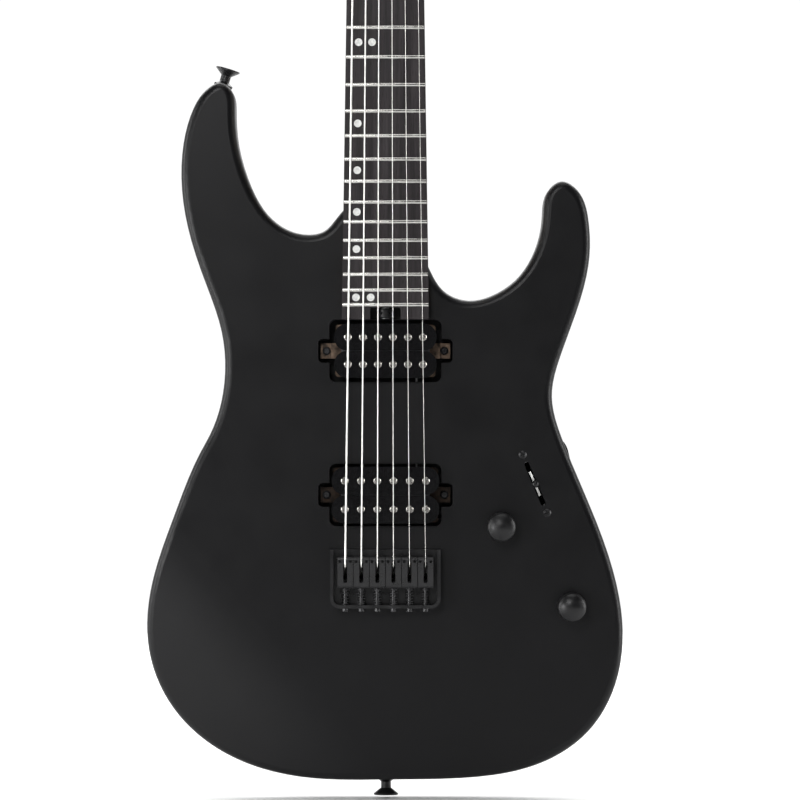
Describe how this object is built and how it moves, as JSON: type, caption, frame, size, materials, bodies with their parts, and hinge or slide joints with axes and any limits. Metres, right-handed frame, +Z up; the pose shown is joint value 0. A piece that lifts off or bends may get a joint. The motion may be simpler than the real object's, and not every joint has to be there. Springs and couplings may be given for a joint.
{
  "type": "electric guitar",
  "caption": "Solid-body double-cutaway electric guitar with bolt-on neck, fixed through-body bridge, two coil pickups, knobs and selector",
  "frame": {"origin": "middle of the neck's width at the front edge of the nut, level with the body's front face", "axes": "+Z up along the neck towards the headstock, +X towards the treble side, +Y out of the back; strings face -Y"},
  "size_m": [0.3125, 0.06, 0.9986],
  "materials": {
    "body_lacquer": "satin black lacquer over wood",
    "neck_maple": "satin oiled maple",
    "ebony": "oiled dark ebony, fine straight grain",
    "fret_wire": "polished nickel silver",
    "dot_white": "polished white",
    "nut_black": "moulded, satin",
    "plain_steel": "plain, as stamped",
    "hardware_black": "black plated, satin",
    "pickup_metal": "tarnished dark brass colour",
    "bobbin_black": "gloss moulded",
    "coil_copper": "black tape over wound wire",
    "magnet_grey": "raw sintered bar",
    "pole_nickel": "nickel plated",
    "screw_dark": "black oxide",
    "string_steel": "bright steel",
    "knob_black": "black, satin with knurled sides",
    "saddle_black": "black plated, worn at the crown",
    "cover_plastic": "fine textured black",
    "wire_insulation": "soft plastic insulation"
  },
  "bodies": {
    "instrument": {"body": "body_lacquer", "neck": "neck_maple", "fingerboard": "ebony", "frets": "fret_wire", "position_dots": "dot_white", "nut": "nut_black", "truss_rod": "plain_steel", "tuner_housings": "hardware_black", "tuner_bushings": "hardware_black", "tuner_screws": "hardware_black", "pickup_baseplates": "pickup_metal", "pickup_bobbins": "bobbin_black", "pickup_coils": "coil_copper", "pickup_magnets": "magnet_grey", "pickup_pole_screws": "pole_nickel", "pickup_mount_screws": "screw_dark", "bridge_screws": "hardware_black", "bridge_plate": "hardware_black", "saddle_springs": "screw_dark", "strings": "string_steel", "string_ferrules": "hardware_black", "control_pots": "plain_steel", "switch_frame": "plain_steel", "jack_socket": "plain_steel", "panel_screws": "hardware_black", "control_cover": "cover_plastic", "jack_plate": "hardware_black", "strap_screws": "hardware_black", "strap_buttons": "hardware_black", "neck_screws": "hardware_black", "neck_ferrules": "hardware_black", "wiring": "wire_insulation"},
    "post_1": {"tuner_post_1": "hardware_black"},
    "button_1": {"tuner_button_1": "hardware_black"},
    "saddle_1": {"saddle_1": "saddle_black"},
    "screw_1": {"intonation_screw_1": "screw_dark"},
    "post_2": {"tuner_post_2": "hardware_black"},
    "button_2": {"tuner_button_2": "hardware_black"},
    "saddle_2": {"saddle_2": "saddle_black"},
    "screw_2": {"intonation_screw_2": "screw_dark"},
    "post_3": {"tuner_post_3": "hardware_black"},
    "button_3": {"tuner_button_3": "hardware_black"},
    "saddle_3": {"saddle_3": "saddle_black"},
    "screw_3": {"intonation_screw_3": "screw_dark"},
    "post_4": {"tuner_post_4": "hardware_black"},
    "button_4": {"tuner_button_4": "hardware_black"},
    "saddle_4": {"saddle_4": "saddle_black"},
    "screw_4": {"intonation_screw_4": "screw_dark"},
    "post_5": {"tuner_post_5": "hardware_black"},
    "button_5": {"tuner_button_5": "hardware_black"},
    "saddle_5": {"saddle_5": "saddle_black"},
    "screw_5": {"intonation_screw_5": "screw_dark"},
    "post_6": {"tuner_post_6": "hardware_black"},
    "button_6": {"tuner_button_6": "hardware_black"},
    "saddle_6": {"saddle_6": "saddle_black"},
    "screw_6": {"intonation_screw_6": "screw_dark"},
    "volume": {"volume_knob": "knob_black"},
    "tone": {"tone_knob": "knob_black"},
    "selector": {"switch_lever": "knob_black"},
    "truss_adjuster": {"truss_wheel": "plain_steel"}
  },
  "joints": [
    {"name": "button_turn_1", "type": "hinge", "parent": "instrument", "child": "button_1", "pos_m": [-0.02301, 0.0157, 0.03138], "axis": [-0.966, 0, 0.2585], "continuous": true},
    {"name": "post_turn_1", "type": "hinge", "parent": "instrument", "child": "post_1", "pos_m": [-0.02124, 0, 0.038], "axis": [0, 1, 0], "continuous": true},
    {"name": "button_turn_2", "type": "hinge", "parent": "instrument", "child": "button_2", "pos_m": [-0.01577, 0.0157, 0.05638], "axis": [-0.966, 0, 0.2585], "continuous": true},
    {"name": "post_turn_2", "type": "hinge", "parent": "instrument", "child": "post_2", "pos_m": [-0.014, 0, 0.063], "axis": [0, 1, 0], "continuous": true},
    {"name": "button_turn_3", "type": "hinge", "parent": "instrument", "child": "button_3", "pos_m": [-0.00878, 0.0157, 0.08138], "axis": [-0.966, 0, 0.2585], "continuous": true},
    {"name": "post_turn_3", "type": "hinge", "parent": "instrument", "child": "post_3", "pos_m": [-0.00701, 0, 0.088], "axis": [0, 1, 0], "continuous": true},
    {"name": "button_turn_4", "type": "hinge", "parent": "instrument", "child": "button_4", "pos_m": [-0.00207, 0.0157, 0.10638], "axis": [-0.966, 0, 0.2585], "continuous": true},
    {"name": "post_turn_4", "type": "hinge", "parent": "instrument", "child": "post_4", "pos_m": [-0.0003, 0, 0.113], "axis": [0, 1, 0], "continuous": true},
    {"name": "button_turn_5", "type": "hinge", "parent": "instrument", "child": "button_5", "pos_m": [0.00432, 0.0157, 0.13138], "axis": [-0.966, 0, 0.2585], "continuous": true},
    {"name": "post_turn_5", "type": "hinge", "parent": "instrument", "child": "post_5", "pos_m": [0.00609, 0, 0.138], "axis": [0, 1, 0], "continuous": true},
    {"name": "button_turn_6", "type": "hinge", "parent": "instrument", "child": "button_6", "pos_m": [0.01043, 0.0157, 0.15638], "axis": [-0.966, 0, 0.2585], "continuous": true},
    {"name": "post_turn_6", "type": "hinge", "parent": "instrument", "child": "post_6", "pos_m": [0.01221, 0, 0.163], "axis": [0, 1, 0], "continuous": true},
    {"name": "intonation_turn_1", "type": "hinge", "parent": "instrument", "child": "screw_1", "pos_m": [-0.02625, -0.00595, -0.684], "axis": [0, 0, 1], "range_deg": [-1440, 1440]},
    {"name": "saddle_slide_1", "type": "slide", "parent": "instrument", "child": "saddle_1", "axis": [0, 0, 1], "range_m": [-0.002, 0.002], "deforming": ["saddle_springs"]},
    {"name": "intonation_turn_2", "type": "hinge", "parent": "instrument", "child": "screw_2", "pos_m": [-0.01575, -0.00649, -0.684], "axis": [0, 0, 1], "range_deg": [-1440, 1440]},
    {"name": "saddle_slide_2", "type": "slide", "parent": "instrument", "child": "saddle_2", "axis": [0, 0, 1], "range_m": [-0.002, 0.002], "deforming": ["saddle_springs"]},
    {"name": "intonation_turn_3", "type": "hinge", "parent": "instrument", "child": "screw_3", "pos_m": [-0.00525, -0.00677, -0.684], "axis": [0, 0, 1], "range_deg": [-1440, 1440]},
    {"name": "saddle_slide_3", "type": "slide", "parent": "instrument", "child": "saddle_3", "axis": [0, 0, 1], "range_m": [-0.002, 0.002], "deforming": ["saddle_springs"]},
    {"name": "intonation_turn_4", "type": "hinge", "parent": "instrument", "child": "screw_4", "pos_m": [0.00525, -0.00677, -0.684], "axis": [0, 0, 1], "range_deg": [-1440, 1440]},
    {"name": "saddle_slide_4", "type": "slide", "parent": "instrument", "child": "saddle_4", "axis": [0, 0, 1], "range_m": [-0.002, 0.002], "deforming": ["saddle_springs"]},
    {"name": "intonation_turn_5", "type": "hinge", "parent": "instrument", "child": "screw_5", "pos_m": [0.01575, -0.00649, -0.684], "axis": [0, 0, 1], "range_deg": [-1440, 1440]},
    {"name": "saddle_slide_5", "type": "slide", "parent": "instrument", "child": "saddle_5", "axis": [0, 0, 1], "range_m": [-0.002, 0.002], "deforming": ["saddle_springs"]},
    {"name": "intonation_turn_6", "type": "hinge", "parent": "instrument", "child": "screw_6", "pos_m": [0.02625, -0.00595, -0.684], "axis": [0, 0, 1], "range_deg": [-1440, 1440]},
    {"name": "saddle_slide_6", "type": "slide", "parent": "instrument", "child": "saddle_6", "axis": [0, 0, 1], "range_m": [-0.002, 0.002], "deforming": ["saddle_springs"]},
    {"name": "volume_turn", "type": "hinge", "parent": "instrument", "child": "volume", "pos_m": [0.076, -0.006, -0.6312], "axis": [0, 1, 0], "range_deg": [-140, 140]},
    {"name": "tone_turn", "type": "hinge", "parent": "instrument", "child": "tone", "pos_m": [0.122, -0.006, -0.6835], "axis": [0, 1, 0], "range_deg": [-140, 140]},
    {"name": "selector_tilt", "type": "hinge", "parent": "instrument", "child": "selector", "pos_m": [0.09795, 0.018, -0.6029], "axis": [0.9212, 0, 0.3891], "range_deg": [-26, 26]},
    {"name": "truss_adjuster_turn", "type": "hinge", "parent": "instrument", "child": "truss_adjuster", "pos_m": [0, 0.00185, -0.4913], "axis": [0, 0, 1], "range_deg": [-180, 180]}
  ],
  "couplings": [
    {"joint": "post_turn_1", "follows": "button_turn_1", "ratio": 0.055556},
    {"joint": "post_turn_2", "follows": "button_turn_2", "ratio": 0.055556},
    {"joint": "post_turn_3", "follows": "button_turn_3", "ratio": 0.055556},
    {"joint": "post_turn_4", "follows": "button_turn_4", "ratio": 0.055556},
    {"joint": "post_turn_5", "follows": "button_turn_5", "ratio": 0.055556},
    {"joint": "post_turn_6", "follows": "button_turn_6", "ratio": 0.055556},
    {"joint": "intonation_turn_1", "follows": "saddle_slide_1", "rad_per_m": 12566},
    {"joint": "intonation_turn_2", "follows": "saddle_slide_2", "rad_per_m": 12566},
    {"joint": "intonation_turn_3", "follows": "saddle_slide_3", "rad_per_m": 12566},
    {"joint": "intonation_turn_4", "follows": "saddle_slide_4", "rad_per_m": 12566},
    {"joint": "intonation_turn_5", "follows": "saddle_slide_5", "rad_per_m": 12566},
    {"joint": "intonation_turn_6", "follows": "saddle_slide_6", "rad_per_m": 12566}
  ]
}
